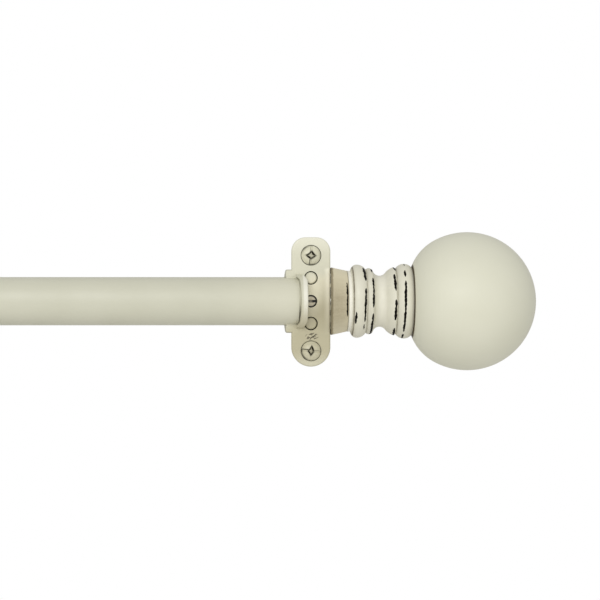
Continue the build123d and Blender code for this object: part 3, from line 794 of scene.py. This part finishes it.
def makeClampScrews(side, s):
    # pan heads with a worn cross drive and a shallow slot, from the crown's middle round to the shank's end
    end = ends[side]
    rng = np.random.default_rng(3)
    low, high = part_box("clamp_screws_right")
    radius = (high.x - low.x) / 2 / mm
    top, back = ((axis.y - y) / mm for y in (low.y, high.y))
    heights = [(high.z - axis.z) / mm - radius, (low.z - axis.z) / mm + radius]
    shank = [radius, s["shank"], s["shank"], s["middle"]]
    reach = np.concatenate([np.linspace(s["middle"], radius, s["rings"]), shank])
    crown = top - (top - s["underHead"] - s["side"]) * (reach / radius) ** s["crown"]
    crown[-4:] = s["underHead"], s["underHead"], back, back
    turns = np.arange(s["segments"]) * 2 * np.pi / s["segments"]
    reach, angle = np.meshgrid(reach, turns, indexing="ij")
    onTop = (np.arange(len(crown)) < s["rings"])[:, None]
    grids, shadeMasks = [], []
    for height, head in zip(heights, s["heads"]):
        along = reach * np.cos(angle - math.radians(head["turn"]))
        across = reach * np.sin(angle - math.radians(head["turn"]))
        # 1 on the edge of the four-pointed drive, less inside it
        star = (abs(along) / head["along"]) ** s["point"] + (abs(across) / head["across"]) ** s["point"]
        star += s["driveUneven"] * np.sin(3 * angle + rng.uniform(0, 6))
        drive = s["driveDepth"] * np.clip((1 - star) / s["driveWall"], 0, 1)
        drive -= s["nib"] * np.exp(-(reach / s["nibReach"]) ** 2)
        slot = s["slotDepth"] * np.clip((s["slotHalf"] - abs(across)) / s["slotWall"], 0, 1)
        slot *= star > s["slotFrom"]
        front = crown[:, None] - onTop * np.maximum(drive, slot)
        # painted shade: dark on the drive's wall, along one edge of the slot and round the rim
        wall = np.exp(-((star - s["wallAt"]) / s["wallReach"]) ** 2)
        wall *= s["wallShade"] + s["wallUneven"] * np.sin(2 * angle)
        corner = np.minimum(abs(along), abs(across))
        wall *= 1 - s["cornerLessShade"] * np.exp(-(corner / s["cornerReach"]) ** 2)
        edge = np.exp(-((across - s["slotHalf"]) / s["edgeReach"]) ** 2) * (star > 1)
        edge *= np.where(along < 0, *s["slotEdgeShade"])
        rim = 0
        for where, spread, dark in head["rim"]:
            apart = np.degrees(np.angle(np.exp(1j * (angle - math.radians(where)))))
            rim = np.maximum(rim, dark * np.exp(-(apart / spread) ** 2))
        rim = rim * np.clip((reach / radius - s["rimFrom"]) / (s["rimFull"] - s["rimFrom"]), 0, 1)
        shadeMasks.append(onTop * np.clip(np.maximum(np.maximum(wall, edge), rim), 0, 1))
        x = end["corner"] + end["out"] * reach * np.cos(angle) * mm
        z = axis.z + (height + reach * np.sin(angle)) * mm
        grids.append(np.stack([x, axis.y - front * mm, z], axis=-1))
    name = "clampScrews_" + side
    mesh = gridMesh(name, np.stack(grids), end["out"], {"shadeMask": np.stack(shadeMasks)}, closed=False)
    addPiece(name, mesh, screwPaint, end["body"], "screw_zinc", "clamp_screws_" + side)


for side in ends:
    makeClampScrews(side, clampSetup)
print("clamp screws made")


# lips of the block that close the groove beside the rod, flush with the block's face
lipSetup = {
    "from": 9.7, "to": 5.6, "face": 2.97, "depth": 2.6, "width": 0.75, "clear": 0.02,       # mm
    "points": 9,        # along the curve beside the rod
}


def makeLips(side, s):
    end = ends[side]
    rod = radiusOf("outer_tube") + s["clear"]
    fronts = np.linspace(s["face"], s["face"] - s["depth"], s["points"])
    inner = [(f, math.sqrt(rod ** 2 - f ** 2)) for f in fronts]
    outer = inner[0][1] + s["width"]
    section = inner + [(inner[-1][0], outer), (inner[0][0], outer)]
    n = len(section)
    points, faces = [], []
    for k, sign in enumerate((1, -1)):
        for u in (-s["from"], -s["to"]):
            x = end["corner"] + end["out"] * u * mm
            points += [(x, axis.y - f * mm, axis.z + sign * z * mm) for f, z in section]
        a = 2 * n * k
        ring = [[a + i, a + (i + 1) % n, a + n + (i + 1) % n, a + n + i] for i in range(n)]
        ring += [[a + n - 1 - i for i in range(n)], [a + n + i for i in range(n)]]
        faces += [face[::-1] if sign * end["out"] < 0 else face for face in ring]
    mesh = bpy.data.meshes.new("socketLips_" + side)
    mesh.from_pydata(points, [], faces)
    addPiece("socketLips_" + side, mesh, enamelCasting, end["body"], "ivory_casting")


for side in ends:
    makeLips(side, lipSetup)
print("lips made")


# paint that fills the groove between the rod's end and the hood, deeper towards the bottom
beadSetup = {
    "from": -4.69, "to": -4.2, "inner": 7.9, "segments": 180,       # mm
    # degrees up from the front, mm below the rod's skin
    "depths": [
        (-180, 1.2), (-41, 1.2), (-25, 0.7), (-14, 0.35), (0, 0.2),
        (15, 0.12), (35, 0.2), (47, 0.4), (90, 1.2), (180, 1.2),
    ],
}


def makeBead(side, s):
    end = ends[side]
    rod = radiusOf("outer_tube")
    loop = [(s["from"], rod), (s["to"], rod), (s["to"], s["inner"]), (s["from"], s["inner"])]
    distance, radius, angle = latheGrid(loop, s["segments"])
    degrees = (np.degrees(angle) + 180) % 360 - 180
    depth = np.interp(degrees, *zip(*s["depths"]))
    radius = np.where(radius > s["inner"], rod - depth, radius)
    mesh = latheMesh("grooveBead_" + side, distance, radius, angle, end["corner"], end["out"])
    addPiece("grooveBead_" + side, mesh, enamelCasting, end["body"], "ivory_casting")


for side in ends:
    makeBead(side, beadSetup)
print("groove beads made")


# floor, well below the rod
floorSetup = {"size": 12.0, "below": 0.45, "color": "#f2f1ee", "roughness": 0.9}    # m


def makeFloor(s):
    half = s["size"] / 2
    z = axis.z - s["below"]
    corners = [(-half, -half, z), (half, -half, z), (half, half, z), (-half, half, z)]
    mesh = bpy.data.meshes.new("floor")
    mesh.from_pydata(corners, [], [(0, 1, 2, 3)])
    floor = bpy.data.objects.new("floor", mesh)
    bpy.context.scene.collection.objects.link(floor)
    mat = newMaterial("paleFloor", Base_Color=linearColor(s["color"]), Roughness=s["roughness"])[0]
    mesh.materials.append(mat)


makeFloor(floorSetup)
print("floor done")
